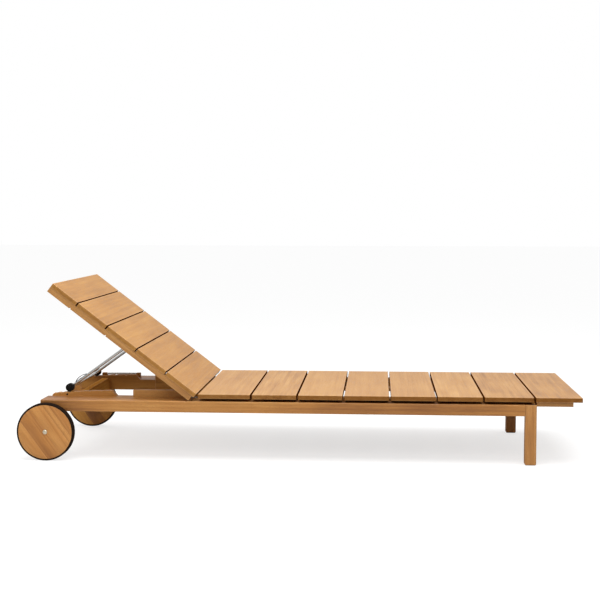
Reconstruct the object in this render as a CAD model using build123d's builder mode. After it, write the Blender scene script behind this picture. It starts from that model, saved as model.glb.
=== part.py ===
from build123d import *
import math
import os

# Teak sun lounger with a raised back, all lengths in millimetres.
# X runs from the head (wheels, negative) to the foot (legs, positive), Y across, Z up from the floor.
# The origin lies on the floor in the middle of the overall box. The part is drawn with the back raised.

# Overall sizes
overall_length = 2000
bed_width = 700
seat_top = 240

# Slats and the battens under them
slat_thickness = 16
slat_gap = 6
slat_width_share = 0.079
first_slat_share = 0.093
wide_slat_share = 0.086
end_slat_share = 0.081
batten_height = 10
batten_width = 40
seat_batten_setback = 62
seat_batten_foot_inset = 31
batten_nose_setback = 10
batten_nose_height = 16.5
slat_round = 1.2
narrow_slat_count = 5

# Frame
rail_width = 110
rail_height = 40
rail_head_inset = 80
leg_size = 40
leg_foot_inset = 158
leg_round = 6
leg_foot_round = 5.5
rail_round = 2
hinge_member_width = 78
middle_member_width = 45
head_board_thickness = 22
head_board_inset = 120
head_board_rise = 11
head_board_relief = 1
head_board_shoulder = 26
axle_post_width = 46
axle_post_depth = 44
axle_post_drop = 101

# Wheels
wheel_diameter = 206
tyre_depth = 6.5
wheel_thickness = 26
tyre_round = 2.5
wheel_gap = 4
axle_diameter = 10
bush_wall = 3
axle_clearance = 0.06
axle_head_diameter = 16
axle_head_height = 3.5
axle_nut_diameter = 20
axle_nut_height = 8
side_clearance = 0.4
washer_diameter = 24

# Back
back_slat_gap = 4
back_slat_share = 0.0645
back_top_slat_share = 0.056
full_back_slat_count = 4
back_batten_height = 20
back_batten_setback = 1
back_batten_inset = 8
batten_kerf_width = 5
batten_kerf_depth = 4
batten_kerf_positions = (101, 260)
raised_angle = 37.4
joint_gap = 6
back_corner_lift = 1
hinge_from_end = 16
hinge_below_top = 24

# Back hinges
hinge_pin_diameter = 6
hinge_pin_clearance = 0.06
hinge_lug_radius = 7.5
hinge_plate = 4
hinge_base = 3
hinge_base_width = 12
hinge_base_length = 46
hinge_lug_share = 0.2
hinge_leaf_width = 26
hinge_leaf_length = 54
hinge_side_gap = 0.6
pin_head_diameter = 10
pin_head_height = 2.5

# Bail that props the back, with its feet on the racks
bail_tube = 11
bail_bar = 13
bail_leg_inset = 14
bail_reach_share = 0.4518
bail_pivot_depth = 27.5
bail_length_share = 0.952
bail_stowed_slope = 0.78
bail_turn_share = 0.94
bail_eye_radius = 7
bail_eye_width = 12
bail_pin_diameter = 6
cheek_thickness = 4
cheek_gap = 0.6
cheek_radius = 8
bracket_length = 44
bracket_base = 3
sleeve_diameter = 29
sleeve_length = 30
sleeve_round = 2
sleeve_end_share = 0.5
lever_thickness = 4
lever_width = 9
lever_rise = 7
lever_length = 52
lever_start = 22

# Racks and bearers inside the rails
rack_thickness = 26
rack_head_inset = 15
rack_run_out = 94
rack_run_level = 16
rack_run_fall = 18
bearer_top_drop = 2.5
bearer_bottom_drop = 12
crest_clearance = 0.4
notch_drop = 1.6
crest_angles = (18, 22, 26, 30, 34, 38, 42, 46, 50, 54, 58)
notch_angles = (27, 32, 37.4, 43, 49, 55)
bearer_bolt_inset = 72
bearer_bolt_rise = 8
bearer_bolt_diameter = 8
bearer_bolt_depth = 1.5

# Keeper beside the left sleeve
keeper_rod_diameter = 8
keeper_rod_rise = 20.5
keeper_side_gap = 4
keeper_block_lead = 26
keeper_post_lead = 73
keeper_block_length = 20
keeper_block_width = 18
keeper_block_height = 24.5
keeper_post_length = 16
rest_pad_diameter = 24
rest_pad_share = 0.143
rest_pad_clearance = 0.3

# Derived positions
half_length = overall_length / 2
half_width = bed_width / 2
slat_bottom = seat_top - slat_thickness
rail_top = slat_bottom - batten_height
rail_bottom = rail_top - rail_height
rail_inner = half_width - rail_width
rail_head = -half_length + rail_head_inset
leg_foot_face = half_length - leg_foot_inset
leg_head_face = leg_foot_face - leg_size
wheel_radius = wheel_diameter / 2
wheel_x = -half_length + wheel_radius
slat_width = overall_length * slat_width_share
wide_slat_width = overall_length * wide_slat_share
end_slat_width = overall_length * end_slat_share
first_slat_width = overall_length * first_slat_share
seat_widths = [first_slat_width] + [slat_width] * narrow_slat_count + [wide_slat_width, end_slat_width]
seat_start = half_length - sum(seat_widths) - slat_gap * (len(seat_widths) - 1)
back_slat_width = overall_length * back_slat_share
back_top_slat_width = overall_length * back_top_slat_share
back_widths = [back_slat_width] * full_back_slat_count + [back_top_slat_width]
back_length = sum(back_widths) + back_slat_gap * (len(back_widths) - 1)
back_cos = math.cos(math.radians(raised_angle))
back_sin = math.sin(math.radians(raised_angle))
pivot_x = seat_start - joint_gap - hinge_from_end * back_cos - hinge_below_top * back_sin
pivot_z = seat_top + back_corner_lift + hinge_from_end * back_sin - hinge_below_top * back_cos
pivot_to_slat = hinge_below_top - slat_thickness
hinge_lug_offset = rail_inner + rail_width * hinge_lug_share
rack_outer = rail_inner
rack_inner = rack_outer - rack_thickness
bail_leg_offset = rack_inner - bail_leg_inset
bail_pivot_reach = back_length * bail_reach_share
bail_pivot_drop = bail_pivot_depth - hinge_below_top
bail_length = bail_pivot_reach * bail_length_share
rack_head = rail_head + rack_head_inset
head_board_x = rail_head + head_board_inset
hinge_member_head = seat_start - joint_gap - hinge_member_width + batten_width
sides = (("right", -1), ("left", 1))

# Local frames: the raised back (x towards the foot, z out of its face) and the bail (x up its legs)
back_plane = Plane(
    origin=(pivot_x, 0, pivot_z), x_dir=(back_cos, 0, -back_sin), z_dir=(back_sin, 0, back_cos)
)


def bail_angle(back_angle):
    """Slope of the bail's legs for an angle of the back."""
    return bail_stowed_slope + bail_turn_share * back_angle


def bail_pivot(back_angle):
    """Bail pivot under the back, in X and Z."""
    turn = math.radians(back_angle)
    along = math.sqrt(bail_pivot_reach**2 - bail_pivot_drop**2)
    x = pivot_x - along * math.cos(turn) - bail_pivot_drop * math.sin(turn)
    z = pivot_z + along * math.sin(turn) - bail_pivot_drop * math.cos(turn)
    return x, z


def bail_foot(back_angle):
    """Middle of the bail's foot bar, in X and Z."""
    x, z = bail_pivot(back_angle)
    slope = math.radians(bail_angle(back_angle))
    return x - bail_length * math.cos(slope), z - bail_length * math.sin(slope)


foot_x, foot_z = bail_foot(raised_angle)
bail_cos = math.cos(math.radians(bail_angle(raised_angle)))
bail_sin = math.sin(math.radians(bail_angle(raised_angle)))
bail_plane = Plane(origin=(foot_x, 0, foot_z), x_dir=(bail_cos, 0, bail_sin), z_dir=(-bail_sin, 0, bail_cos))

os.makedirs("parts", exist_ok=True)


def save(part, label):
    """Names one piece and writes its STEP file."""
    part.label = label
    export_step(part, "parts/" + label + ".step")


def across(y):
    """Plane whose normal points along +Y, x along +X, at one place across the bed."""
    return Plane(origin=(0, y, 0), x_dir=(1, 0, 0), z_dir=(0, 1, 0))


# Side rails: wide boards laid flat, from the head end to the legs
for side, sign in sides:
    with BuildPart() as side_rail:
        rail_length = leg_head_face - rail_head
        rail_middle = (leg_head_face + rail_head) / 2
        with Locations((rail_middle, sign * (half_width - rail_width / 2), rail_top - rail_height / 2)):
            Box(rail_length, rail_width, rail_height)
        fillet(side_rail.edges().filter_by(Axis.X), rail_round)
    save(side_rail.part, "side_rail_" + side)

# Foot legs: square posts, flush with the rails' outer faces
for side, sign in sides:
    with BuildPart() as foot_leg:
        with Locations(((leg_head_face + leg_foot_face) / 2, sign * (half_width - leg_size / 2), rail_top / 2)):
            Box(leg_size, leg_size, rail_top)
        fillet(foot_leg.edges().filter_by(Axis.Z), leg_round)
        fillet(foot_leg.faces().sort_by(Axis.Z)[0].edges(), leg_foot_round)
    save(foot_leg.part, "foot_leg_" + side)

# Cross members: between the legs, in the middle of the seat and under the joint of seat and back
with BuildPart() as foot_member:
    with Locations(((leg_head_face + leg_foot_face) / 2, 0, rail_top - rail_height / 2)):
        Box(leg_size, bed_width - 2 * leg_size, rail_height)
    fillet(foot_member.edges().filter_by(Axis.Y), rail_round)
save(foot_member.part, "cross_member_foot")

middle_member_x = (hinge_member_head + hinge_member_width + leg_head_face) / 2
with BuildPart() as middle_member:
    with Locations((middle_member_x, 0, rail_top - rail_height / 2)):
        Box(middle_member_width, 2 * rail_inner, rail_height)
    fillet(middle_member.edges().filter_by(Axis.Y), rail_round)
save(middle_member.part, "cross_member_middle")

with BuildPart() as hinge_member:
    with Locations((hinge_member_head + hinge_member_width / 2, 0, rail_top - rail_height / 2)):
        Box(hinge_member_width, 2 * rail_inner, rail_height)
    fillet(hinge_member.edges().filter_by(Axis.Y), rail_round)
save(hinge_member.part, "cross_member_hinge")

# Head board: stands on edge between the racks, its ends lowered so that the bail's legs pass over them
head_board_top = rail_top + head_board_rise
head_board_end = rail_top + head_board_relief
leg_pass = rack_inner - head_board_shoulder
with BuildPart() as head_board:
    with BuildSketch(Plane(origin=(head_board_x, 0, 0), x_dir=(0, 1, 0), z_dir=(1, 0, 0))):
        with BuildLine():
            Polyline(
                (-rack_inner, rail_bottom),
                (rack_inner, rail_bottom),
                (rack_inner, head_board_end),
                (leg_pass, head_board_end),
                (leg_pass - head_board_rise, head_board_top),
                (-leg_pass + head_board_rise, head_board_top),
                (-leg_pass, head_board_end),
                (-rack_inner, head_board_end),
                close=True,
            )
        make_face()
    extrude(amount=head_board_thickness / 2, both=True)
save(head_board.part, "cross_member_head")

# Racks: inside the rails, the crest follows the path of the bail's sleeves, with shallow notches
sleeve_radius = sleeve_diameter / 2
crest_points = []
for angle in crest_angles:
    crest_x, crest_z = bail_foot(angle)
    crest_points.append((crest_x, crest_z - sleeve_radius - crest_clearance))
run_end = crest_points[-1][0] + rack_run_level
bearer_head = crest_points[-1][0] + rack_run_out
for side, sign in sides:
    rack_side = rack_inner if sign > 0 else -rack_outer
    with BuildPart() as rack:
        with BuildSketch(across(rack_side)):
            with BuildLine():
                Polyline(
                    (crest_points[-1][0], -crest_points[-1][1]),
                    (run_end, -crest_points[-1][1]),
                    (run_end + rack_run_fall, -rail_top),
                    (bearer_head, -rail_top),
                    (bearer_head, -rail_bottom),
                    (rack_head, -rail_bottom),
                    (rack_head, -(crest_points[0][1] - notch_drop)),
                    *[(x, -z) for x, z in crest_points if x > rack_head],
                )
            make_face()
        extrude(amount=rack_thickness)
        with BuildSketch(across(rack_side)):
            for angle in notch_angles:
                notch_x, notch_z = bail_foot(angle)
                with Locations((notch_x, -(notch_z - notch_drop))):
                    Circle(sleeve_radius + crest_clearance)
        extrude(amount=rack_thickness, mode=Mode.SUBTRACT)
    save(rack.part, "bail_rack_" + side)

# Bearers: deep boards beside the raised back, from the racks to the hinge member
bearer_top = seat_top - bearer_top_drop
bearer_bottom = rail_bottom - bearer_bottom_drop
for side, sign in sides:
    with BuildPart() as bearer:
        bearer_length = hinge_member_head - bearer_head
        bearer_middle = (bearer_head + hinge_member_head) / 2
        bearer_height = bearer_top - bearer_bottom
        bearer_y = sign * (rack_inner + rack_outer) / 2
        with Locations((bearer_middle, bearer_y, bearer_bottom + bearer_height / 2)):
            Box(bearer_length, rack_thickness, bearer_height)
        fillet(bearer.faces().sort_by(Axis.Z)[-1].edges(), rail_round)
        with Locations(
            Plane(
                origin=(
                    hinge_member_head - bearer_bolt_inset,
                    sign * rack_outer,
                    rail_top + bearer_bolt_rise,
                ),
                x_dir=(1, 0, 0),
                z_dir=(0, -sign, 0),
            )
        ):
            Cylinder(
                bearer_bolt_diameter / 2,
                bearer_bolt_depth,
                align=(Align.CENTER, Align.CENTER, Align.MIN),
                mode=Mode.SUBTRACT,
            )
    save(bearer.part, "hinge_bearer_" + side)

# Axle posts: under the rails at the head, each bored for its wheel's axle
for side, sign in sides:
    with BuildPart() as axle_post:
        post_height = axle_post_drop
        post_y = sign * (half_width - axle_post_depth / 2)
        with Locations((wheel_x, post_y, rail_bottom - post_height / 2)):
            Box(axle_post_width, axle_post_depth, post_height)
        fillet(axle_post.edges().filter_by(Axis.Z), rail_round)
        with Locations(Plane(origin=(wheel_x, post_y, wheel_radius), x_dir=(1, 0, 0), z_dir=(0, 1, 0))):
            Cylinder(axle_diameter / 2, bed_width, mode=Mode.SUBTRACT)
    save(axle_post.part, "axle_post_" + side)

# Seat battens: strips on the rails and along the middle that carry the seat slats. Past the legs each outer
# one turns into a deeper board that reaches almost to the slats' ends.
for side, sign in sides:
    with BuildPart() as seat_batten:
        batten_length = half_length - seat_batten_foot_inset - seat_start
        batten_middle = seat_start + batten_length / 2
        with Locations(
            (
                batten_middle,
                sign * (half_width - seat_batten_setback - batten_width / 2),
                rail_top + batten_height / 2,
            )
        ):
            Box(batten_length, batten_width, batten_height)
        nose_length = half_length - seat_batten_foot_inset - leg_foot_face
        nose_width = seat_batten_setback + batten_width - batten_nose_setback
        with Locations(
            (
                leg_foot_face + nose_length / 2,
                sign * (half_width - batten_nose_setback - nose_width / 2),
                slat_bottom - batten_nose_height / 2,
            )
        ):
            Box(nose_length, nose_width, batten_nose_height)
    save(seat_batten.part, "seat_batten_" + side)

with BuildPart() as middle_batten:
    with Locations((seat_start + batten_length / 2, 0, rail_top + batten_height / 2)):
        Box(batten_length, batten_width, batten_height)
save(middle_batten.part, "seat_batten_middle")

# Seat slats: eight boards across the bed, the first and seventh wider
slat_x = seat_start
for number, width in enumerate(seat_widths, start=1):
    with BuildPart() as seat_slat:
        with Locations((slat_x + width / 2, 0, seat_top - slat_thickness / 2)):
            Box(width, bed_width, slat_thickness)
        fillet(seat_slat.edges(), slat_round)
    save(seat_slat.part, "seat_slat_" + str(number))
    slat_x += width + slat_gap

# Back slats: numbered from the joint up to the head, drawn in the raised back's own frame
slat_end = hinge_from_end
for number, width in enumerate(back_widths, start=1):
    with BuildPart(back_plane) as back_slat:
        with Locations((slat_end - width / 2, 0, hinge_below_top - slat_thickness / 2)):
            Box(width, bed_width, slat_thickness)
        fillet(back_slat.edges(), slat_round)
    save(back_slat.part, "back_slat_" + str(number))
    slat_end -= width + back_slat_gap

# Back battens: under the slat ends, with two saw kerfs each
back_batten_length = back_length - back_batten_inset
back_batten_end = hinge_from_end - back_length
for side, sign in sides:
    with BuildPart(back_plane) as back_batten:
        back_batten_y = sign * (half_width - back_batten_setback - batten_width / 2)
        back_batten_top = hinge_below_top - slat_thickness
        with Locations(
            (
                back_batten_end + back_batten_length / 2,
                back_batten_y,
                back_batten_top - back_batten_height / 2,
            )
        ):
            Box(back_batten_length, batten_width, back_batten_height)
        fillet(back_batten.edges().filter_by(Axis.Y), slat_round)
        for kerf in batten_kerf_positions:
            with Locations(
                (
                    back_batten_end + kerf,
                    back_batten_y,
                    back_batten_top - back_batten_height + batten_kerf_depth / 2,
                )
            ):
                Box(batten_kerf_width, batten_width, batten_kerf_depth, mode=Mode.SUBTRACT)
    save(back_batten.part, "back_batten_" + side)

# Hinge brackets on the rails: a base plate and an upright lug bored for the pin
pin_radius = hinge_pin_diameter / 2
for side, sign in sides:
    with BuildPart() as hinge_bracket:
        base_y = sign * (hinge_lug_offset - hinge_base_width / 2 + hinge_plate / 2)
        with Locations((pivot_x, base_y, rail_top + hinge_base / 2)):
            Box(hinge_base_length, hinge_base_width + hinge_plate, hinge_base)
        with BuildSketch(across(sign * hinge_lug_offset + (0 if sign > 0 else -hinge_plate))):
            with Locations((pivot_x, -pivot_z)):
                Circle(hinge_lug_radius)
            with Locations((pivot_x, -(pivot_z + rail_top) / 2)):
                Rectangle(2 * hinge_lug_radius, pivot_z - rail_top)
        extrude(amount=hinge_plate)
        with BuildSketch(across(sign * hinge_lug_offset + (0 if sign > 0 else -hinge_plate))):
            with Locations((pivot_x, -pivot_z)):
                Circle(pin_radius)
        extrude(amount=hinge_plate, mode=Mode.SUBTRACT)
    save(hinge_bracket.part, "hinge_bracket_" + side)

# Hinge leaves under the lowest back slat: a plate and a hanging lug beside the bracket's lug
leaf_start = hinge_lug_offset + hinge_plate + hinge_side_gap
leaf_bore = pin_radius + hinge_pin_clearance
for side, sign in sides:
    with BuildPart(back_plane) as hinge_leaf:
        leaf_y = sign * (leaf_start + hinge_leaf_width / 2)
        with Locations((hinge_lug_radius - hinge_leaf_length / 2, leaf_y, pivot_to_slat - hinge_base / 2)):
            Box(hinge_leaf_length, hinge_leaf_width, hinge_base)
        lug_y = sign * (leaf_start + hinge_plate / 2)
        with Locations(Location((0, lug_y, 0), (90, 0, 0))):
            Cylinder(hinge_lug_radius, hinge_plate)
        with Locations((0, lug_y, pivot_to_slat / 2)):
            Box(2 * hinge_lug_radius, hinge_plate, pivot_to_slat)
        with Locations(Location((0, lug_y, 0), (90, 0, 0))):
            Cylinder(leaf_bore, hinge_plate, mode=Mode.SUBTRACT)
    save(hinge_leaf.part, "hinge_leaf_" + side)

# Hinge pins: held in the brackets' lugs, turning in the leaves' lugs
with BuildPart() as hinge_pins:
    for side, sign in sides:
        pin_length = 2 * hinge_plate + 2 * hinge_side_gap + pin_head_height
        pin_y = sign * (hinge_lug_offset + pin_length / 2)
        with Locations(Location((pivot_x, pin_y, pivot_z), (90, 0, 0))):
            Cylinder(pin_radius, pin_length)
        for head_y in (
            sign * (hinge_lug_offset - pin_head_height / 2),
            sign * (hinge_lug_offset + pin_length - pin_head_height / 2),
        ):
            with Locations(Location((pivot_x, head_y, pivot_z), (90, 0, 0))):
                Cylinder(pin_head_diameter / 2, pin_head_height)
save(hinge_pins.part, "hinge_pins")

# Bail brackets under the third back slat: a base plate with two cheeks either side of each bail leg
bail_pivot_local = -math.sqrt(bail_pivot_reach**2 - bail_pivot_drop**2)
cheek_offset = bail_eye_width / 2 + cheek_gap + cheek_thickness / 2
bracket_width = 2 * cheek_offset + cheek_thickness
for side, sign in sides:
    with BuildPart(back_plane) as bail_bracket:
        with Locations((bail_pivot_local, sign * bail_leg_offset, pivot_to_slat - bracket_base / 2)):
            Box(bracket_length, bracket_width, bracket_base)
        for cheek in (-1, 1):
            cheek_y = sign * bail_leg_offset + cheek * cheek_offset
            with Locations(Location((bail_pivot_local, cheek_y, -bail_pivot_drop), (90, 0, 0))):
                Cylinder(cheek_radius, cheek_thickness)
            cheek_drop = pivot_to_slat + bail_pivot_drop
            with Locations((bail_pivot_local, cheek_y, pivot_to_slat - cheek_drop / 2)):
                Box(2 * cheek_radius, cheek_thickness, cheek_drop)
        with Locations(
            Location((bail_pivot_local, sign * bail_leg_offset, -bail_pivot_drop), (90, 0, 0))
        ):
            Cylinder(bail_pin_diameter / 2, bracket_width, mode=Mode.SUBTRACT)
    save(bail_bracket.part, "bail_bracket_" + side)

# Bail pins: held in the brackets' cheeks
with BuildPart(back_plane) as bail_pins:
    for side, sign in sides:
        with Locations(
            Location((bail_pivot_local, sign * bail_leg_offset, -bail_pivot_drop), (90, 0, 0))
        ):
            Cylinder(bail_pin_diameter / 2, bracket_width)
        for end in (-1, 1):
            end_y = sign * bail_leg_offset + end * (bracket_width + pin_head_height) / 2
            with Locations(Location((bail_pivot_local, end_y, -bail_pivot_drop), (90, 0, 0))):
                Cylinder(pin_head_diameter / 2, pin_head_height)
save(bail_pins.part, "bail_pins")

# Bail: foot bar and two legs of round steel, each leg ending in an eye bored for its pin
sleeve_start = bail_leg_offset + bail_tube * sleeve_end_share + hinge_side_gap
bar_half = sleeve_start + sleeve_length
with BuildPart(bail_plane) as bail:
    with Locations(Location((0, 0, 0), (90, 0, 0))):
        Cylinder(bail_bar / 2, 2 * bar_half)
    for side, sign in sides:
        with Locations(Location((bail_length / 2, sign * bail_leg_offset, 0), (0, 90, 0))):
            Cylinder(bail_tube / 2, bail_length)
        with Locations(Location((bail_length, sign * bail_leg_offset, 0), (90, 0, 0))):
            Cylinder(bail_eye_radius, bail_eye_width)
    for side, sign in sides:
        with Locations(Location((bail_length, sign * bail_leg_offset, 0), (90, 0, 0))):
            Cylinder(bail_pin_diameter / 2 + hinge_pin_clearance, bail_eye_width, mode=Mode.SUBTRACT)
save(bail.part, "bail")

# Sleeves: black rollers pushed on the ends of the foot bar, they stand on the racks
for side, sign in sides:
    with BuildPart(bail_plane) as sleeve:
        with Locations(Location((0, sign * (sleeve_start + sleeve_length / 2), 0), (90, 0, 0))):
            Cylinder(sleeve_radius, sleeve_length)
        fillet(sleeve.edges().filter_by(GeomType.CIRCLE), sleeve_round)
        with Locations(Location((0, sign * (sleeve_start + sleeve_length / 2), 0), (90, 0, 0))):
            Cylinder(bail_bar / 2, sleeve_length, mode=Mode.SUBTRACT)
    save(sleeve.part, "bail_sleeve_" + side)

# Release lever: a thin bowed strip on the right leg of the bail
with BuildPart(bail_plane) as lever:
    with BuildSketch(Plane(origin=bail_plane.origin, x_dir=bail_plane.x_dir, z_dir=(0, -1, 0)).offset(
        bail_leg_offset - lever_width / 2
    )):
        lever_low = bail_tube / 2
        with BuildLine():
            ThreePointArc(
                (lever_start, lever_low),
                (lever_start + lever_length / 2, lever_low + lever_rise),
                (lever_start + lever_length, lever_low),
            )
            Line(
                (lever_start + lever_length, lever_low),
                (lever_start + lever_length - lever_thickness, lever_low),
            )
            ThreePointArc(
                (lever_start + lever_length - lever_thickness, lever_low),
                (lever_start + lever_length / 2, lever_low + lever_rise - lever_thickness / 2),
                (lever_start + lever_thickness, lever_low),
            )
            Line((lever_start + lever_thickness, lever_low), (lever_start, lever_low))
        make_face()
    extrude(amount=lever_width)
save(lever.part, "bail_lever")

# Keeper: a block and a post on the left rail with a rod between them, it guides the left sleeve
keeper_y = bar_half + keeper_side_gap + keeper_block_width / 2
keeper_head = foot_x + keeper_block_lead
keeper_foot = bearer_head - keeper_post_lead
with BuildPart() as keeper_block:
    with Locations((keeper_head, keeper_y, rail_top + keeper_block_height / 2)):
        Box(keeper_block_length, keeper_block_width, keeper_block_height)
    fillet(keeper_block.faces().sort_by(Axis.Z)[-1].edges(), rail_round)
save(keeper_block.part, "keeper_block")

with BuildPart() as keeper_post:
    with Locations((keeper_foot, keeper_y, rail_top + keeper_block_height / 2)):
        Box(keeper_post_length, keeper_block_width, keeper_block_height)
    fillet(keeper_post.faces().sort_by(Axis.Z)[-1].edges(), rail_round)
save(keeper_post.part, "keeper_post")

with BuildPart() as keeper_rod:
    rod_start = keeper_head + keeper_block_length / 2
    rod_end = keeper_foot - keeper_post_length / 2
    with Locations(
        Location(((rod_start + rod_end) / 2, keeper_y, rail_top + keeper_rod_rise), (0, 90, 0))
    ):
        Cylinder(keeper_rod_diameter / 2, rod_end - rod_start)
save(keeper_rod.part, "keeper_rod")

# Rest pads: under the back, they meet the head board when the back lies flat
with BuildPart(back_plane) as rest_pads:
    pad_height = pivot_z + pivot_to_slat - head_board_top - rest_pad_clearance
    pad_x = head_board_x - pivot_x
    for pad in (-1, 1):
        with Locations((pad_x, pad * bed_width * rest_pad_share, pivot_to_slat - pad_height / 2)):
            Cylinder(rest_pad_diameter / 2, pad_height)
save(rest_pads.part, "rest_pads")

# Wheels: wooden disc, rubber tyre and a plain bush on each side
disc_radius = wheel_radius - tyre_depth
bush_radius = axle_diameter / 2 + axle_clearance + bush_wall
wheel_middle = half_width + wheel_gap + wheel_thickness / 2
for side, sign in sides:
    wheel_plane = Plane(
        origin=(wheel_x, sign * wheel_middle, wheel_radius), x_dir=(1, 0, 0), z_dir=(0, sign, 0)
    )
    with BuildPart(wheel_plane) as wheel_disc:
        Cylinder(disc_radius, wheel_thickness)
        chamfer(wheel_disc.edges().filter_by(GeomType.CIRCLE), slat_round)
        Cylinder(bush_radius, wheel_thickness, mode=Mode.SUBTRACT)
    save(wheel_disc.part, "wheel_disc_" + side)
    with BuildPart(wheel_plane) as tyre:
        Cylinder(wheel_radius, wheel_thickness)
        fillet(tyre.edges().filter_by(GeomType.CIRCLE), tyre_round)
        Cylinder(disc_radius, wheel_thickness, mode=Mode.SUBTRACT)
    save(tyre.part, "tyre_" + side)
    with BuildPart(wheel_plane) as wheel_bush:
        Cylinder(bush_radius, wheel_thickness)
        Cylinder(axle_diameter / 2 + axle_clearance, wheel_thickness, mode=Mode.SUBTRACT)
    save(wheel_bush.part, "wheel_bush_" + side)

# Axle bolts: through the posts and the wheels, with a round head outside and a nut inside
with BuildPart() as axle_bolts:
    for side, sign in sides:
        wheel_outer = half_width + wheel_gap + wheel_thickness
        shank_start = half_width - axle_post_depth - axle_nut_height
        shank_end = wheel_outer + side_clearance
        with Locations(Location((wheel_x, sign * (shank_start + shank_end) / 2, wheel_radius), (90, 0, 0))):
            Cylinder(axle_diameter / 2, shank_end - shank_start)
        with Locations(
            Location((wheel_x, sign * (shank_end + axle_head_height / 2), wheel_radius), (90, 0, 0))
        ):
            Cylinder(axle_head_diameter / 2, axle_head_height)
        with Locations(
            Location((wheel_x, sign * (shank_start + axle_nut_height / 2), wheel_radius), (90, 0, 0))
        ):
            Cylinder(axle_nut_diameter / 2, axle_nut_height)
save(axle_bolts.part, "axle_bolts")

# Axle washers: keep the wheels off the posts
with BuildPart() as axle_washers:
    for side, sign in sides:
        washer_thickness = wheel_gap - side_clearance
        with Locations(
            Location((wheel_x, sign * (half_width + washer_thickness / 2), wheel_radius), (90, 0, 0))
        ):
            Cylinder(washer_diameter / 2, washer_thickness)
            Cylinder(axle_diameter / 2, washer_thickness, mode=Mode.SUBTRACT)
save(axle_washers.part, "axle_washers")
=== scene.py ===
import math
import random

import bpy
from mathutils import Matrix, Vector


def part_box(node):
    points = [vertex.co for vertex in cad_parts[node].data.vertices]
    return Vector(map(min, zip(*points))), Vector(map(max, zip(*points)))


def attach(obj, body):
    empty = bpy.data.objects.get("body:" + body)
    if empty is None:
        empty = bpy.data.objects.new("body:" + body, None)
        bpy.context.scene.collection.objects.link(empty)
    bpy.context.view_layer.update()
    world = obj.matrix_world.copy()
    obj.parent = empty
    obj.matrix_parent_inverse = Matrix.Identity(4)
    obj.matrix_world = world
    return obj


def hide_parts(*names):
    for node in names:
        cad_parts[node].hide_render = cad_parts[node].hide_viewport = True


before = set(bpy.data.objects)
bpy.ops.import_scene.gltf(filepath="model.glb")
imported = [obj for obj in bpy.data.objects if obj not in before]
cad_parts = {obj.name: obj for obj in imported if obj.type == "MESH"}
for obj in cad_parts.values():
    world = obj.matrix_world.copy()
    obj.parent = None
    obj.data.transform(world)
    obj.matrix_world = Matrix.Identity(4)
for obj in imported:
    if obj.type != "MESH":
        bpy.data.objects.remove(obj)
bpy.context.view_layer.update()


# The studio: a plain white floor before a white backdrop, a wide soft light overhead and a weaker one in
# front. The room is dark low down in front, so little light creeps in under the bed. The camera stands
# low before the near long side, where the photograph was taken from.
def shader_node(tree, kind, feeds, **settings):
    """Adds one node to a material, each socket set to a value or fed from another node."""
    made = tree.nodes.new(kind)
    for name, value in settings.items():
        setattr(made, name, value)
    for socket, feed in feeds.items():
        if isinstance(feed, bpy.types.NodeSocket):
            tree.links.new(feed, made.inputs[socket])
        else:
            made.inputs[socket].default_value = feed
    return made


def spread(tree, value, run, into):
    """Turns one run of values into another, held at both ends."""
    return shader_node(tree, "ShaderNodeMapRange", {
        "Value": value, "From Min": run[0], "From Max": run[1], "To Min": into[0], "To Max": into[1],
    }).outputs[0]


white = (1, 1, 1, 1)
camera_place = (0.2879, -4.7407, 0.8801)
camera_turn = (86.07, -0.081, 3.612)
lens = 75.27
film_width = 36
scene = bpy.context.scene
scene.view_settings.view_transform = "Standard"
camera_data = bpy.data.cameras.new("camera")
camera_data.sensor_width = film_width
camera_data.lens = lens
camera = bpy.data.objects.new("camera", camera_data)
camera.location = camera_place
camera.rotation_euler = [math.radians(angle) for angle in camera_turn]
scene.collection.objects.link(camera)
scene.camera = camera

brighter_towards = (0, 0.5, 1)
dusk = (-0.25, 0.25)
sky_low_and_high = (0.20, 0.85)
world = bpy.data.worlds.new("studio")
world.use_nodes = True
room = world.node_tree
room.nodes.clear()
heading = shader_node(room, "ShaderNodeTexCoord", {}).outputs["Generated"]
height = shader_node(
    room, "ShaderNodeVectorMath", {0: heading, 1: brighter_towards}, operation="DOT_PRODUCT"
).outputs["Value"]
sky_strength = spread(room, height, dusk, sky_low_and_high)
sky = shader_node(room, "ShaderNodeBackground", {"Color": white, "Strength": sky_strength})
backdrop = shader_node(room, "ShaderNodeBackground", {"Color": white})
by_camera = shader_node(room, "ShaderNodeLightPath", {}).outputs["Is Camera Ray"]
around = shader_node(
    room, "ShaderNodeMixShader", {0: by_camera, 1: sky.outputs[0], 2: backdrop.outputs[0]}
)
shader_node(room, "ShaderNodeOutputWorld", {"Surface": around.outputs[0]})
scene.world = world

for name, place, tilt, size, power in (
    ("overhead_light", (0.1, -0.7, 2.7), 14, (3.2, 2.2), 80.0),
    ("front_light", (-0.2, -3.4, 2.5), 56, (3.4, 1.2), 30.0),
):
    bpy.ops.object.light_add(type="AREA", location=place, rotation=(math.radians(tilt), 0, 0))
    lamp = bpy.context.object
    lamp.name = name
    lamp.data.shape = "RECTANGLE"
    lamp.data.size, lamp.data.size_y = size
    lamp.data.energy = power

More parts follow.
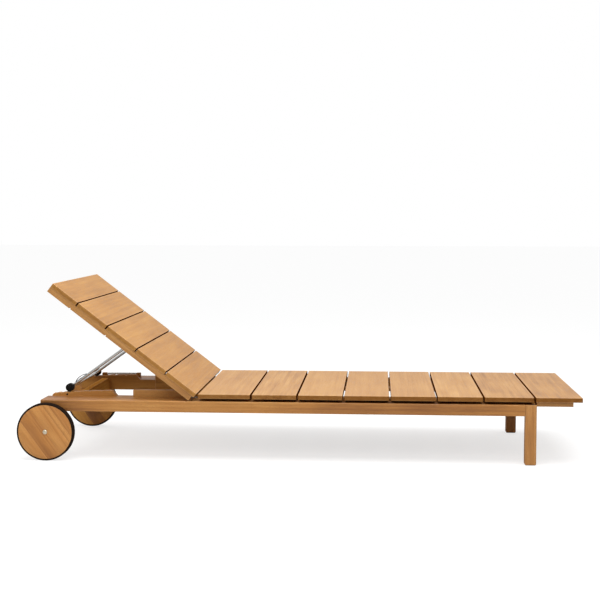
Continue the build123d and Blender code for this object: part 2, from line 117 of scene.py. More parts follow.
floor_size = 60
floor_glow = 0.665
floor_white = (0.38, 0.38, 0.38, 1)
floor_bounce = (0.55, 0.55, 0.55, 1)
bpy.ops.mesh.primitive_plane_add(size=floor_size, location=(0, 0, 0))
floor = bpy.context.object
floor.name = "floor"
floor_paint = bpy.data.materials.new("floor_paint")
floor_paint.use_nodes = True
paint = floor_paint.node_tree
paint.nodes.clear()
glow = shader_node(paint, "ShaderNodeEmission", {"Strength": floor_glow})
matt = shader_node(paint, "ShaderNodeBsdfDiffuse", {"Color": floor_white})
seen = shader_node(paint, "ShaderNodeAddShader", {0: glow.outputs[0], 1: matt.outputs[0]})
bounce = shader_node(paint, "ShaderNodeBsdfDiffuse", {"Color": floor_bounce})
by_camera = shader_node(paint, "ShaderNodeLightPath", {}).outputs["Is Camera Ray"]
lit = shader_node(
    paint, "ShaderNodeMixShader", {0: by_camera, 1: bounce.outputs[0], 2: seen.outputs[0]}
)
shader_node(paint, "ShaderNodeOutputMaterial", {"Surface": lit.outputs[0]})
floor.data.materials.append(floor_paint)


# Side rails: wide teak boards laid flat along both long sides, sawn along the grain, planed and oiled,
# with their arrises eased by hand. Teak is made here for every board: growth rings, pale and dark
# streaks, fine pores, darker end grain, painted shade on the long sides that face a gap and arrises
# worn lighter.
def reckoned(tree, operation, *values, clamp=False):
    """Adds one sum to a material."""
    return shader_node(
        tree, "ShaderNodeMath", dict(enumerate(values)), operation=operation, use_clamp=clamp
    ).outputs[0]


def reckoned_along(tree, operation, *values):
    """Adds one sum of directions or places to a material."""
    return shader_node(tree, "ShaderNodeVectorMath", dict(enumerate(values)), operation=operation)


def weigh(tree, total, value, share):
    """Adds a share of a pattern's swing round its middle to a running total."""
    swing = reckoned(tree, "SUBTRACT", value, 0.5)
    return reckoned(tree, "MULTIPLY_ADD", swing, share, total)


def blended(tree, share, colour, other, way="MIX"):
    """Blends another colour into a colour."""
    return shader_node(tree, "ShaderNodeMix", {
        "Factor": share, "A": colour, "B": other,
    }, data_type="RGBA", blend_type=way).outputs["Result"]


def laid(tree, place, shift=(0, 0, 0), turn=(0, 0, 0), scale=(1, 1, 1)):
    """Lays a pattern on a piece: scaled, turned and shifted."""
    return shader_node(tree, "ShaderNodeMapping", {
        "Vector": place, "Location": shift, "Rotation": turn, "Scale": scale,
    }).outputs[0]


def blotches(tree, place, scale, detail, roughness):
    """Soft random blotches, the smaller the larger the scale."""
    return shader_node(tree, "ShaderNodeTexNoise", {
        "Vector": place, "Scale": scale, "Detail": detail, "Roughness": roughness,
    }).outputs["Fac"]


def started(name):
    """Starts a finish, and gives it with its nodes and its shader."""
    finish = bpy.data.materials.new(name)
    finish.use_nodes = True
    return finish, finish.node_tree, finish.node_tree.nodes["Principled BSDF"]


def raised(tree, shader, height, strength, depth):
    """Gives a finish its fine relief."""
    relief = shader_node(tree, "ShaderNodeBump", {
        "Height": height, "Strength": strength, "Distance": depth,
    })
    tree.links.new(relief.outputs["Normal"], shader.inputs["Normal"])


def rubbed_edges(tree, reach, most):
    """Share of wear that grows towards a piece's outer edges."""
    rounded = shader_node(tree, "ShaderNodeBevel", {"Radius": reach}, samples=4)
    face = shader_node(tree, "ShaderNodeNewGeometry", {})
    alike = reckoned_along(tree, "DOT_PRODUCT", rounded.outputs["Normal"], face.outputs["Normal"])
    return spread(tree, alike.outputs["Value"], (0.98, 0.80), (0.0, most))


def rubbed_arrises(tree, board, half, most):
    """Share of wear that grows towards a straight board's arrises, where two of its faces are near."""
    depths = reckoned_along(tree, "SUBTRACT", half, reckoned_along(tree, "ABSOLUTE", board).outputs[0])
    depth_x, depth_y, depth_z = shader_node(
        tree, "ShaderNodeSeparateXYZ", {0: depths.outputs[0]}
    ).outputs
    every = reckoned(tree, "ADD", reckoned(tree, "ADD", depth_x, depth_y), depth_z)
    largest = reckoned(tree, "MAXIMUM", reckoned(tree, "MAXIMUM", depth_x, depth_y), depth_z)
    from_arris = reckoned(tree, "SUBTRACT", every, largest)
    return spread(tree, from_arris, arris_reach, (most, 0.0))


def figured(tree, board, pith, tone, contrast, drift):
    """The figure of the wood, from dark to pale, with its streaks and its fibres."""
    log = laid(tree, board, pith, scale=(0.045, 1, 1))
    rings = shader_node(tree, "ShaderNodeTexWave", {
        "Vector": log, "Scale": 26.0, "Distortion": 9.0, "Detail": 3.0,
        "Detail Scale": 0.45, "Detail Roughness": 0.6,
    }, wave_type="RINGS", rings_direction="X", wave_profile="SAW").outputs["Fac"]
    streaks = blotches(tree, log, scale=62.0, detail=4.0, roughness=0.6)
    fibres = blotches(tree, log, scale=430.0, detail=2.0, roughness=0.5)
    patch_place = laid(tree, board, (pith[2] * 40, pith[0], 0), scale=(0.3, 1, 1))
    patches = blotches(tree, patch_place, scale=13.0, detail=2.0, roughness=0.5)
    figure = weigh(tree, 0.5 + tone, rings, 0.14 * contrast)
    figure = weigh(tree, figure, streaks, 0.75 * contrast)
    figure = weigh(tree, figure, patches, 0.55 * contrast)
    figure = weigh(tree, figure, fibres, 0.28)
    if drift:
        swing, darkest, wave = drift
        run = shader_node(tree, "ShaderNodeSeparateXYZ", {0: board}).outputs[0]
        turns = reckoned(tree, "MULTIPLY_ADD", run, wave, -darkest * wave)
        figure = reckoned(tree, "MULTIPLY_ADD", reckoned(tree, "COSINE", turns), -swing, figure)
    return figure, streaks, fibres


teak_colours = ((0.150, 0.048, 0.009), (0.410, 0.184, 0.044), (0.625, 0.345, 0.112))
pore_colour = (0.12, 0.045, 0.015, 1)
pore_run = (0.60, 0.72)
end_grain_shade = (0.56, 0.46, 0.36, 1)
end_grain_run = (0.75, 0.95)
# Painted shade for the long sides that face a gap: its colour, and how far in from the arris it reaches.
gap_shade_colour = (0.100, 0.026, 0.002, 1)
gap_shade_reach = (0.0004, 0.0018)
worn_colour = (0.72, 0.43, 0.20, 1)
arris_reach = (0.0005, 0.0045)
edge_reach = 0.0022
oiled_roughness = (0.40, 0.54)
fibre_depth = 0.0004


def teak(
    piece, grain, width, seed, tone=0.0, contrast=1.0, boxed=True, tint=(1, 1, 1), drift=None,
    ends=0.85, wear=0.55, sides=(0, 0), gloss=0.5,
):
    """Oiled teak for one board, its grain along one direction, cut from its own place in the log.

    Tone and tint set how light it is and its hue, contrast how strong its figure is. Drift darkens it
    slowly along its length, ends darkens its end grain, wear lightens its arrises, and the pair of side
    shares paints shade on each long side that faces a gap, dark as the gap's shadow, with less sheen
    there. A board that isn't boxed has other edges than a straight one's.
    """
    draw = random.Random(seed)
    wood, tree, shader = started("teak_" + piece.name)
    grain, width = Vector(grain).normalized(), Vector(width).normalized()
    turn = Matrix((grain, width, grain.cross(width)))
    corners = [turn @ point.co for point in piece.data.vertices]
    low, high = Vector(map(min, *corners)), Vector(map(max, *corners))
    half = (high - low) / 2
    place = shader_node(tree, "ShaderNodeTexCoord", {})
    board = laid(tree, place.outputs["Object"], -(low + high) / 2, turn.to_euler())
    pith = (draw.uniform(-3, 3), draw.uniform(-0.05, 0.05), draw.uniform(0.05, 0.16))
    figure, streaks, fibres = figured(tree, board, pith, tone, contrast, drift)
    colours = shader_node(tree, "ShaderNodeValToRGB", {"Fac": figure})
    ramp = colours.color_ramp
    ramp.elements.new(0.5)
    for element, stop, colour in zip(ramp.elements, (0.0, 0.5, 1.0), teak_colours):
        element.position = stop
        element.color = tuple(part * share for part, share in zip(colour, tint)) + (1,)
    pore_place = laid(tree, board, pith, scale=(0.1, 1, 1))
    pores = blotches(tree, pore_place, scale=1500.0, detail=1.0, roughness=0.4)
    pore_depth = spread(tree, pores, pore_run, (0.0, 1.0))
    pore_share = reckoned(tree, "MULTIPLY", pore_depth, 0.35)
    surface = blended(tree, pore_share, colours.outputs["Color"], pore_colour)
    facing = reckoned_along(tree, "DOT_PRODUCT", place.outputs["Normal"], grain).outputs["Value"]
    end_share = spread(tree, reckoned(tree, "ABSOLUTE", facing), end_grain_run, (0.0, ends))
    surface = blended(tree, end_share, surface, end_grain_shade, "MULTIPLY")
    clear_of_ends_and_shade = reckoned(tree, "MULTIPLY_ADD", end_share, -0.8, 1.0, clamp=True)
    aside = shader_node(tree, "ShaderNodeSeparateXYZ", {0: board}).outputs[1]
    # Painted shade: each long side that faces a gap darkens towards its arris and loses its sheen there.
    for side, share in zip((1, -1), sides):
        if share:
            inside = reckoned(tree, "MULTIPLY_ADD", aside, side, half.y)
            gap_shade = spread(tree, inside, gap_shade_reach, (share, 0.0))
            surface = blended(tree, gap_shade, surface, gap_shade_colour)
            clear_of_ends_and_shade = reckoned(tree, "MULTIPLY_ADD", gap_shade, -1.0, clear_of_ends_and_shade, clamp=True)
    if boxed:
        worn = rubbed_arrises(tree, board, half, wear)
    else:
        worn = rubbed_edges(tree, edge_reach, wear)
    worn = reckoned(tree, "MULTIPLY", reckoned(tree, "MULTIPLY", worn, clear_of_ends_and_shade), streaks)
    surface = blended(tree, worn, surface, worn_colour)
    tree.links.new(surface, shader.inputs["Base Color"])
    tree.links.new(spread(tree, fibres, (0.3, 0.7), oiled_roughness), shader.inputs["Roughness"])
    if any(sides):
        sheen = reckoned(tree, "MULTIPLY", clear_of_ends_and_shade, gloss)
        tree.links.new(sheen, shader.inputs["Specular IOR Level"])
    else:
        shader.inputs["Specular IOR Level"].default_value = gloss
    height = reckoned(tree, "MULTIPLY_ADD", pore_depth, -0.6, weigh(tree, 0.5, fibres, 0.8))
    raised(tree, shader, height, 0.45, fibre_depth)
    return wood


def dress(name, material):
    """Gives a CAD node its finish."""
    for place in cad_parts[name].material_slots:
        place.material = material


def in_teak(name, grain, width, seed, **look):
    """Gives a CAD node its own board of teak."""
    dress(name, teak(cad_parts[name], grain, width, seed, **look))


along, across, upright = Vector((1, 0, 0)), Vector((0, 1, 0)), Vector((0, 0, 1))
# The left rail, on the far side, takes a less blue tint than the right one: painted shade.
for side, seed, tint, drift in (
    ("right", 11, (1.05, 0.98, 0.83), (0.18, 0.404, 4.2)),
    ("left", 12, (1.03, 0.96, 0.75), (0.08, -0.2, 3.0)),
):
    in_teak("side_rail_" + side, along, across, seed, tone=-0.09, tint=tint, drift=drift, wear=0.15)

# Foot legs, axle posts and cross members: square teak stock, mortised and glued to the rails. The legs
# stand under the foot end, the posts carry the axles, and the cross members hold the rails apart.
# The left leg and post, on the far side under the bed, are painted darker and less blue as shade, and the
# right leg is painted a little lighter as light.
for name, seed, tone, tint in (
    ("foot_leg_right", 21, 0.06, (1.05, 1.0, 0.95)), ("foot_leg_left", 22, -0.10, (1.0, 0.92, 0.75)),
    ("axle_post_right", 23, 0.0, (1, 1, 1)), ("axle_post_left", 24, -0.05, (1.0, 0.95, 0.85)),
):
    in_teak(name, upright, across, seed, tone=tone, tint=tint)
for number, place in enumerate(("foot", "middle", "hinge", "head"), start=1):
    in_teak(
        "cross_member_" + place, across, along, 30 + number, tone=0.08, tint=(1.05, 0.97, 0.7), gloss=0.0
    )

# Seat battens: teak strips pinned on the rails and down the middle. They lift the slats off the rails
# and stay far enough in from the slats' ends to leave a dark line below them.
for number, place in enumerate(("right", "left", "middle"), start=1):
    in_teak("seat_batten_" + place, along, across, 40 + number, tone=-0.04)

# Seat slats: eight planed teak boards across the bed with eased arrises, screwed up through the battens.
# The gaps between them are dark, so shade is painted on each long side that faces another board.
slat_looks = (
    (0.04, 0.6), (0.04, 0.9), (0.07, 0.5), (0.03, 0.4),
    (0.02, 0.6), (0.07, 0.7), (-0.02, 0.9), (-0.03, 0.9),
)
for number, (tone, contrast) in enumerate(slat_looks, start=1):
    in_teak(
        "seat_slat_" + str(number), across, along, 50 + number, tone=tone, contrast=contrast,
        tint=(0.95, 1.0, 1.0), ends=0.85 if number < 3 else 1.0, sides=(1, int(number < 8)),
    )

# Racks, bearers and the keeper's block and post: teak boards on edge inside the rails. The racks carry
# the bail's feet on their notched crests, the bearers stiffen the frame beside the back. Of these, only
# the bearers have straight edges all round.
# The right rack and, much more, the right bearer are painted paler, standing in for light that falls on
# them; the left pieces and the keeper's block and post take a less blue tint as painted shade.
for name, seed, tone, tint in (
    ("bail_rack_right", 61, 0.22, (1.03, 1.0, 1.0)), ("bail_rack_left", 62, 0.0, (1.0, 0.96, 0.8)),
    ("hinge_bearer_right", 63, 0.40, (1.05, 1.0, 1.0)), ("hinge_bearer_left", 64, -0.06, (1.0, 0.96, 0.8)),
    ("keeper_post", 65, 0.0, (1.0, 0.96, 0.8)), ("keeper_block", 66, 0.0, (1.0, 0.96, 0.8)),
):
    in_teak(name, along, upright, seed, tone=tone, boxed="bearer" in name, tint=tint, gloss=0.15)

# Back slats and battens: five boards like the seat's, screwed to two long teak battens that carry the
# back on its hinges. The slats' grain runs across the bed, and the battens' runs down the back.
back_slope = math.radians(37.4)
down_back = Vector((math.cos(back_slope), 0, -math.sin(back_slope)))
out_of_back = Vector((math.sin(back_slope), 0, math.cos(back_slope)))
# Like the seat's, each back slat has shade painted on the long sides that face another slat.
for number, tone in enumerate((-0.03, -0.02, -0.01, -0.03, -0.04), start=1):
    in_teak(
        "back_slat_" + str(number), across, down_back, 70 + number, tone=tone, contrast=0.6,
        tint=(0.99, 0.99, 0.67), ends=0.25, sides=(int(number < 5), int(number > 1)),
    )
for side, seed in (("right", 76), ("left", 77)):
    in_teak("back_batten_" + side, down_back, across, seed, tone=0.02, wear=0.1)


# Hinges and brackets: folded stainless steel, with headed pins. Steel is made here for every fitting:
# finely brushed, smudged and rubbed bright at its edges.
scratch_colour = (0.46, 0.46, 0.45, 1)
bright_colour = (0.80, 0.80, 0.78, 1)
bright_reach = 0.0008
scratch_depth = 0.0001


def brushed_steel(name, brushed, colour=(0.60, 0.60, 0.58, 1), roughness=0.30):
    """Stainless steel brushed along one direction."""
    steel, tree, shader = started(name)
    brushed = Vector(brushed).normalized()
    side = brushed.orthogonal().normalized()
    turn = Matrix((brushed, side, brushed.cross(side)))
    place = shader_node(tree, "ShaderNodeTexCoord", {}).outputs["Object"]
    drawn = laid(tree, laid(tree, place, turn=turn.to_euler()), scale=(0.03, 1, 1))
    scratches = blotches(tree, drawn, scale=2600.0, detail=3.0, roughness=0.6)
    smudges = blotches(tree, place, scale=45.0, detail=3.0, roughness=0.6)
    dullness = weigh(tree, weigh(tree, roughness, scratches, 0.22), smudges, 0.18)
    tree.links.new(dullness, shader.inputs["Roughness"])
    surface = blended(tree, scratches, colour, scratch_colour)
    surface = blended(tree, rubbed_edges(tree, bright_reach, 0.5), surface, bright_colour)
    tree.links.new(surface, shader.inputs["Base Color"])
    shader.inputs["Metallic"].default_value = 1.0
    raised(tree, shader, scratches, 0.2, scratch_depth)
    return steel


steel_plain = brushed_steel("steel_fittings", across)
for name in (
    "hinge_bracket_right", "hinge_bracket_left", "hinge_leaf_right", "hinge_leaf_left", "hinge_pins",
    "bail_bracket_right", "bail_bracket_left", "bail_pins", "keeper_rod", "axle_washers",
):
    dress(name, steel_plain)


# Wood screws: stainless, with flat heads and hexagon sockets. They hold the slats to their battens and
# the hinges and brackets to the slats and rails. The first is shaped step by step, the others are its
# copies.
def picked(piece, wanted):
    """Opens a piece to be worked on, with only the wanted faces selected."""
    bpy.ops.object.mode_set(mode="EDIT")
    bpy.ops.mesh.select_mode(type="FACE")
    bpy.ops.mesh.select_all(action="DESELECT")
    bpy.ops.object.mode_set(mode="OBJECT")
    for face in piece.data.polygons:
        face.select = wanted(face.normal)
    bpy.ops.object.mode_set(mode="EDIT")


def faced_out():
    """Turns all faces of the piece that is being worked on outwards, and ends the work on it."""
    bpy.ops.mesh.select_all(action="SELECT")
    bpy.ops.mesh.normals_make_consistent(inside=False)
    bpy.ops.object.mode_set(mode="OBJECT")


def copied(piece, name):
    """Copies a piece with a mesh of its own."""
    twin = piece.copy()
    twin.data = piece.data.copy()
    twin.name = name
    scene.collection.objects.link(twin)
    return twin


def fitted(piece, material, finish, body, *nodes):
    """Gives a new piece its material, the body it moves with and the CAD nodes it stands for."""
    piece.data.materials.clear()
    piece.data.materials.append(material)
    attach(piece, body)
    if nodes:
        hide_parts(*nodes)


def screwed(name, place, facing, body, size=1.0):
    """Drives a copy of the first screw in at a place, its head looking one way."""
    twin = copied(screw, name)
    turn = facing.to_track_quat("Z", "Y").to_matrix().to_4x4()
    twin.data.transform(Matrix.Translation(place) @ turn @ Matrix.Scale(size, 4))
    fitted(twin, steel_plain, "steel", body)


def row_screwed(name, places, facing, body, size=1.0):
    """Drives in a row of screws, numbered from one."""
    for number, place in enumerate(places, start=1):
        screwed(name + "_" + str(number), place, facing, body, size)


def middle_of(name):
    """The middle of a CAD node's box."""
    low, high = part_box(name)
    return (low + high) / 2


def on_back(run, lift, aside):
    """A place on the back, told from its hinge: down the back, out of it and across the bed."""
    return hinge + down_back * run + out_of_back * lift + across * aside


head_radius = 0.004
head_height = 0.0014
rim_width = 0.0005
crown = 0.0003
socket_radius = 0.0021
socket_depth = 0.0009
bpy.ops.object.select_all(action="DESELECT")
bpy.ops.mesh.primitive_cylinder_add(vertices=18, radius=head_radius, depth=head_height)
screw = bpy.context.object
picked(screw, lambda normal: normal.z > 0.9)
bpy.ops.mesh.inset(thickness=rim_width)
bpy.ops.transform.translate(value=(0, 0, crown))
bpy.ops.mesh.inset(thickness=head_radius - rim_width - socket_radius)
bpy.ops.mesh.extrude_region_move(TRANSFORM_OT_translate={"value": (0, 0, -socket_depth)})
faced_out()
bpy.ops.object.shade_smooth_by_angle(angle=math.radians(30))

hinge, eye = middle_of("hinge_pins"), middle_of("bail_pins")
hinge.y = eye.y = 0
eye_run = (eye - hinge).dot(down_back)
strip_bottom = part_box("seat_batten_middle")[0].z
back_batten_bottom = -0.012
plate_bottom = 0.0052
flange_thickness = 0.003
flange_shift = 0.002
member_reach = 0.03
nose_reaches = (0.025, 0.075)
leaf_reaches = (0.018, 0.036)
plate_reaches = (-0.0155, 0.0155)
small_screw = 0.8
both_sides = (("right", -1), ("left", 1))
members = [middle_of("cross_member_" + place).x for place in ("foot", "middle", "hinge")]
back_runs = [(middle_of("back_slat_" + str(number)) - hinge).dot(down_back) for number in range(1, 6)]
for number in range(1, 9):
    run = middle_of("seat_slat_" + str(number)).x
    if all(abs(run - member) > member_reach for member in members):
        screwed("seat_screw_" + str(number), (run, 0, strip_bottom), -upright, "frame")
for side, sign in both_sides:
    low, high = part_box("seat_batten_" + side)
    places = [(high.x - reach, (low.y + high.y) / 2, low.z) for reach in nose_reaches]
    row_screwed("nose_screw_" + side, places, -upright, "frame")
    aside = middle_of("back_batten_" + side).y
    places = [on_back(run, back_batten_bottom, aside) for run in back_runs]
    row_screwed("back_screw_" + side, places, -out_of_back, "back")
    aside = middle_of("hinge_leaf_" + side).y
    places = [on_back(-reach, plate_bottom, aside) for reach in leaf_reaches]
    row_screwed("leaf_screw_" + side, places, -out_of_back, "back")
    low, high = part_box("hinge_bracket_" + side)
    aside = (low.y + high.y) / 2 - sign * flange_shift
    places = [(hinge.x + reach, aside, low.z + flange_thickness) for reach in plate_reaches]
    row_screwed("bracket_screw_" + side, places, upright, "frame", small_screw)
    aside = middle_of("bail_bracket_" + side).y
    places = [on_back(eye_run + reach, plate_bottom, aside) for reach in plate_reaches]
    row_screwed("bail_screw_" + side, places, -out_of_back, "back")
bpy.data.objects.remove(screw)


# Bail: a bar and two legs of drawn stainless tube, turning on pins under the back. The legs' ends are
# cut to saddle the bar and are welded to it, with a hand-laid bead round each.
def turned(name, outline, middle, axis, steps):
    """Turns an outline, given as pairs of place along the axis and radius, as on a lathe."""
    bpy.ops.object.select_all(action="DESELECT")
    bpy.ops.mesh.primitive_circle_add(vertices=len(outline), radius=0.01, fill_type="NOTHING")
    piece = bpy.context.object
    piece.name = name
    axis = Vector(axis).normalized()
    out = axis.orthogonal().normalized()
    for point, (reach, radius) in zip(piece.data.vertices, outline):
        point.co = Vector(middle) + axis * reach + out * radius
    bpy.ops.object.mode_set(mode="EDIT")
    bpy.ops.mesh.select_all(action="SELECT")
    bpy.ops.mesh.spin(steps=steps, angle=math.tau, center=middle, axis=axis)
    bpy.ops.mesh.select_all(action="SELECT")
    bpy.ops.mesh.remove_doubles(threshold=seam_gap)
    bpy.ops.mesh.dissolve_degenerate(threshold=seam_gap)
    faced_out()
    bpy.ops.object.shade_smooth_by_angle(angle=math.radians(35))
    return piece


seam_gap = 0.00002
bail_slope = math.radians(35.94)
up_bail = Vector((math.cos(bail_slope), 0, math.sin(bail_slope)))
steel_bail = brushed_steel("steel_bail", up_bail, colour=(0.74, 0.73, 0.70, 1), roughness=0.22)
dress("bail", steel_bail)
bar_radius = 0.0065
saddle_width = 0.0060
bead_radius = 0.0013
bead_reach = 0.0068
bead_ring_radius = 0.0049
bead_waver = 0.0002
bead_corners = [corner * math.tau / 8 for corner in range(8)]
bead_outline = [
    (bead_reach + bead_radius * math.cos(angle), bead_ring_radius + bead_radius * math.sin(angle))
    for angle in bead_corners
]
bail_foot = middle_of("bail_sleeve_right")
bail_foot.y = 0
for side, sign in both_sides:
    joint = bail_foot + across * middle_of("bail_bracket_" + side).y
    bead = turned("weld_bead_" + side, bead_outline, joint, up_bail, steps=40)
    draw = random.Random(90 + sign)
    for point in bead.data.vertices:
        aside = min(abs(point.co.y - joint.y), saddle_width)
        saddle = math.sqrt(bar_radius ** 2 - aside ** 2) - bar_radius
        point.co += up_bail * (saddle + draw.uniform(-bead_waver, bead_waver))
    fitted(bead, steel_bail, "steel", "bail")


# Sleeves, release lever and screw plugs: black glass-filled nylon, moulded. The sleeves are ribbed
# rollers with closed ends, pressed on the bail's bar, and a plug closes the screw hole in each rack.
rubbed_black = (0.035, 0.028, 0.022, 1)
rubbed_black_reach = 0.001
dust_share = 2.2


def black_moulded(name, colour, roughness, grain_size, depth, gloss):
    """Black rubber or plastic with the fine texture of its mould, greyer with dust and rubbed edges."""
    moulded, tree, shader = started(name)
    shader.inputs["Specular IOR Level"].default_value = gloss
    place = shader_node(tree, "ShaderNodeTexCoord", {}).outputs["Object"]
    skin = blotches(tree, place, scale=grain_size, detail=3.0, roughness=0.6)
    dust = blotches(tree, place, scale=30.0, detail=4.0, roughness=0.65)
    dusty_colour = tuple(dust_share * part for part in colour[:3]) + (1,)
    surface = blended(tree, dust, colour, dusty_colour)
    surface = blended(tree, rubbed_edges(tree, rubbed_black_reach, 0.35), surface, rubbed_black)
    tree.links.new(surface, shader.inputs["Base Color"])
    tree.links.new(weigh(tree, roughness, dust, 0.25), shader.inputs["Roughness"])
    raised(tree, shader, skin, 0.35, depth)
    return moulded


nylon = black_moulded(
    "black_nylon", (0.006, 0.0055, 0.005, 1), roughness=0.45, grain_size=1600.0, depth=0.00015, gloss=0.1
)
for name in ("bail_lever", "wheel_bush_right", "wheel_bush_left"):
    dress(name, nylon)
bore = 0.0066
collar = 0.0115
groove_depth = 0.0010
grooves = (0.0105, 0.0155, 0.0205)
plug_reach = 0.055
plug_rise = 0.0055
plug_outline = [
    (-0.0006, 0.0), (-0.0006, 0.0030), (0.0003, 0.0034), (0.0008, 0.0029), (0.0012, 0.0014), (0.0013, 0.0),
]
for side, sign in both_sides:
    outwards = across * sign
    low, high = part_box("bail_sleeve_" + side)
    length, radius = high.y - low.y, (high.z - low.z) / 2
    start = (low + high) / 2 - outwards * length / 2
    sleeve_outline = [
        (0.0, bore), (0.0, collar - 0.001), (0.0008, collar), (0.004, collar),
        (0.005, radius - 0.001), (0.006, radius),
    ]
    for groove in grooves:
        sleeve_outline += [
            (groove, radius), (groove + 0.0004, radius - groove_depth),
            (groove + 0.0016, radius - groove_depth), (groove + 0.0020, radius),
        ]
    sleeve_outline += [
        (length - 0.0022, radius), (length - 0.0006, radius - 0.0008), (length, radius - 0.0024),
        (length, 0.0096), (length - 0.0012, 0.0088), (length - 0.0012, 0.0070),
        (length + 0.0010, 0.0062), (length + 0.0014, 0.0), (length + 0.0001, 0.0),
        (length + 0.0001, bore),
    ]
    sleeve = turned("sleeve_" + side, sleeve_outline, start, outwards, steps=64)
    fitted(sleeve, nylon, "nylon", "bail", "bail_sleeve_" + side)
    low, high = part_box("bail_rack_" + side)
    rail_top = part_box("side_rail_" + side)[1].z
    outer = low.y if side == "right" else high.y
    plug_place = (low.x + plug_reach, outer, rail_top + plug_rise)
    plug = turned("rack_plug_" + side, plug_outline, plug_place, outwards, steps=24)
    fitted(plug, nylon, "nylon", "frame")


# Wheels: solid discs of teak staves glued edge to edge, sawn round and slipped into their rubber tyres.
# One blank disc with its bore is made, and each stave is cut from a copy and has its arrises eased.
def alone(piece):
    """Selects one piece and nothing else."""
    bpy.ops.object.select_all(action="DESELECT")
    piece.select_set(True)
    bpy.context.view_layer.objects.active = piece


def mirrored(piece, name):
    """Copies a piece to the other side of the bed."""
    twin = copied(piece, name)
    alone(twin)
    bpy.ops.object.mode_set(mode="EDIT")
    bpy.ops.mesh.select_all(action="SELECT")
    bpy.ops.transform.resize(value=(1, -1, 1), center_override=(0, 0, 0))
    faced_out()
    return twin


def cut_stave(name, start, stop):
    """Cuts one stave out of a copy of the blank disc, between two joints, and eases its arrises."""
    stave = copied(blank, name)
    alone(stave)
    bpy.ops.object.mode_set(mode="EDIT")
    for joint, keep_above in ((start, True), (stop, False)):
        if abs(joint) < disc_radius:
            bpy.ops.mesh.select_all(action="SELECT")
            bpy.ops.mesh.bisect(
                plane_co=hub + stave_over * joint, plane_no=stave_over, use_fill=True,
                clear_inner=keep_above, clear_outer=not keep_above,
            )
    faced_out()
    eased = stave.modifiers.new("eased", "BEVEL")
    eased.width = 0.0006
    eased.segments = 2
    eased.limit_method = "ANGLE"
    eased.angle_limit = math.radians(40)
    bpy.ops.object.modifier_apply(modifier=eased.name)
    bpy.ops.object.shade_smooth_by_angle(angle=math.radians(30))
    return stave


disc_low, disc_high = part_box("wheel_disc_right")
bush_low, bush_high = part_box("wheel_bush_right")
hub = (disc_low + disc_high) / 2
disc_radius = (disc_high.z - disc_low.z) / 2
bush_radius = (bush_high.z - bush_low.z) / 2
bpy.ops.object.select_all(action="DESELECT")
bpy.ops.mesh.primitive_cylinder_add(
    vertices=160, radius=disc_radius, depth=disc_high.y - disc_low.y,
    location=hub, rotation=(math.radians(90), 0, 0),
)
blank = bpy.context.object
bpy.ops.object.transform_apply()
picked(blank, lambda normal: abs(normal.y) > 0.9)
bpy.ops.mesh.inset(thickness=disc_radius - bush_radius)
bpy.ops.mesh.bridge_edge_loops()
bpy.ops.object.mode_set(mode="OBJECT")

stave_slope = math.radians(54)
stave_grain = Vector((math.cos(stave_slope), 0, -math.sin(stave_slope)))
stave_over = Vector((math.sin(stave_slope), 0, math.cos(stave_slope)))
stave_joints = (-disc_radius, -0.050, 0.001, 0.048, 0.066, disc_radius)
stave_tones = (0.20, -0.10, 0.11, 0.15, 0.07)
# The near wheel's staves are tinted lighter as painted light, the far wheel's darker and less blue as
# painted shade.
lit_near_tint, shaded_far_tint = (1.13, 1.02, 0.90), (1.04, 0.90, 0.45)
for number, tone in enumerate(stave_tones, start=1):
    start, stop = stave_joints[number - 1:number + 1]
    stave = cut_stave("wheel_stave_right_" + str(number), start, stop)
    twin = mirrored(stave, "wheel_stave_left_" + str(number))
    for piece, side, seed, tint in (
        (twin, "left", 87 + number, shaded_far_tint), (stave, "right", 80 + number, lit_near_tint),
    ):
        wood = teak(
            piece, stave_grain, stave_over, seed, tone=tone, contrast=0.9, boxed=False, tint=tint
        )
        fitted(piece, wood, "teak", "wheel_" + side, "wheel_disc_" + side)
bpy.data.objects.remove(blank)

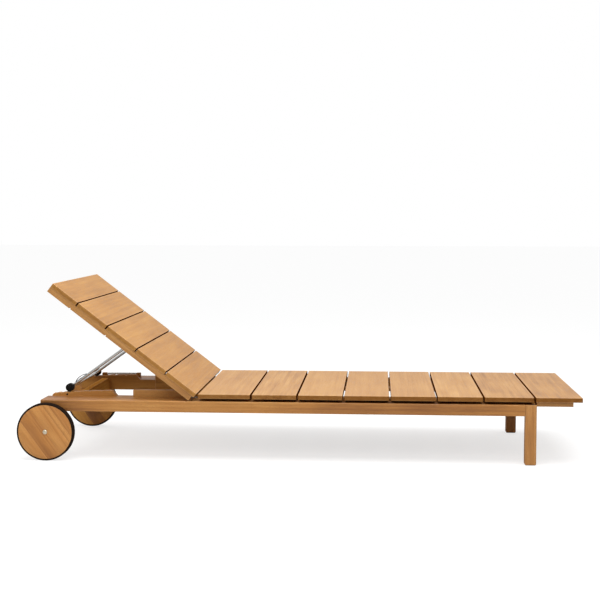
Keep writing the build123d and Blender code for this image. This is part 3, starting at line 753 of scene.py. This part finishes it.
# Tyres and rest pads: black moulded rubber. Each tyre is a plain band with three shallow grooves round its
# tread and a raised bead that grips the wooden disc, and the pads meet a cross member under the back.
rubber = black_moulded(
    "black_rubber", (0.010, 0.0055, 0.0035, 1), roughness=0.75, grain_size=700.0, depth=0.0003, gloss=0.05
)
dress("rest_pads", rubber)
low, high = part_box("tyre_right")
tyre_radius, tyre_half = (high.z - low.z) / 2, (high.y - low.y) / 2
tread_depth = 0.0009
tyre_side = [
    (tyre_half - 0.0006, disc_radius - 0.0008), (tyre_half, disc_radius + 0.0004),
    (tyre_half, disc_radius + 0.0024), (tyre_half - 0.0004, disc_radius + 0.0030),
    (tyre_half - 0.0004, tyre_radius - 0.0024), (tyre_half - 0.0010, tyre_radius - 0.0010),
    (tyre_half - 0.0026, tyre_radius),
]
tyre_outline = [(-reach, radius) for reach, radius in tyre_side]
for groove in (-0.0062, 0.0, 0.0062):
    tyre_outline += [
        (groove - 0.0010, tyre_radius), (groove - 0.0006, tyre_radius - tread_depth),
        (groove + 0.0006, tyre_radius - tread_depth), (groove + 0.0010, tyre_radius),
    ]
tyre_outline += reversed(tyre_side)
tyre = turned("wheel_tyre_right", tyre_outline, hub, across, steps=144)
fitted(mirrored(tyre, "wheel_tyre_left"), rubber, "rubber", "wheel_left", "tyre_left")
fitted(tyre, rubber, "rubber", "wheel_right", "tyre_right")

# Axle bolts: stainless, with domed heads outside the wheels and hexagon nuts inside the posts. Both are
# turned about the axle, the nut in six steps.
steel_cap = brushed_steel("steel_caps", upright, colour=(0.95, 0.80, 0.50, 1), roughness=0.34)
cap_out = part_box("axle_bolts")[1].y
post_face = -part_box("axle_post_right")[1].y
wheel_face = -disc_low.y
axle = Vector((hub.x, 0, hub.z))
shank_radius, cap_radius = 0.0049, 0.0078
nut_bore, nut_radius = 0.0050, 0.0100
bolt_outline = [
    (post_face - 0.0120, 0.0), (post_face - 0.0120, 0.0040), (post_face - 0.0110, shank_radius),
    (wheel_face + 0.0004, shank_radius), (wheel_face + 0.0004, cap_radius),
    (wheel_face + 0.0008, cap_radius + 0.0002), (wheel_face + 0.0016, cap_radius),
    (cap_out - 0.0010, 0.0062), (cap_out - 0.0003, 0.0038), (cap_out, 0.0),
]
nut_outline = [
    (post_face - 0.0080, nut_bore), (post_face - 0.0080, 0.0086), (post_face - 0.0070, nut_radius),
    (post_face, nut_radius), (post_face, nut_bore),
]
bolt = turned("axle_bolt_right", bolt_outline, axle, -across, steps=48)
nut = turned("axle_nut_right", nut_outline, axle, -across, steps=6)
for piece, name in ((bolt, "axle_bolt_left"), (nut, "axle_nut_left")):
    fitted(mirrored(piece, name), steel_cap, "steel", "frame", "axle_bolts")
    fitted(piece, steel_cap, "steel", "frame", "axle_bolts")
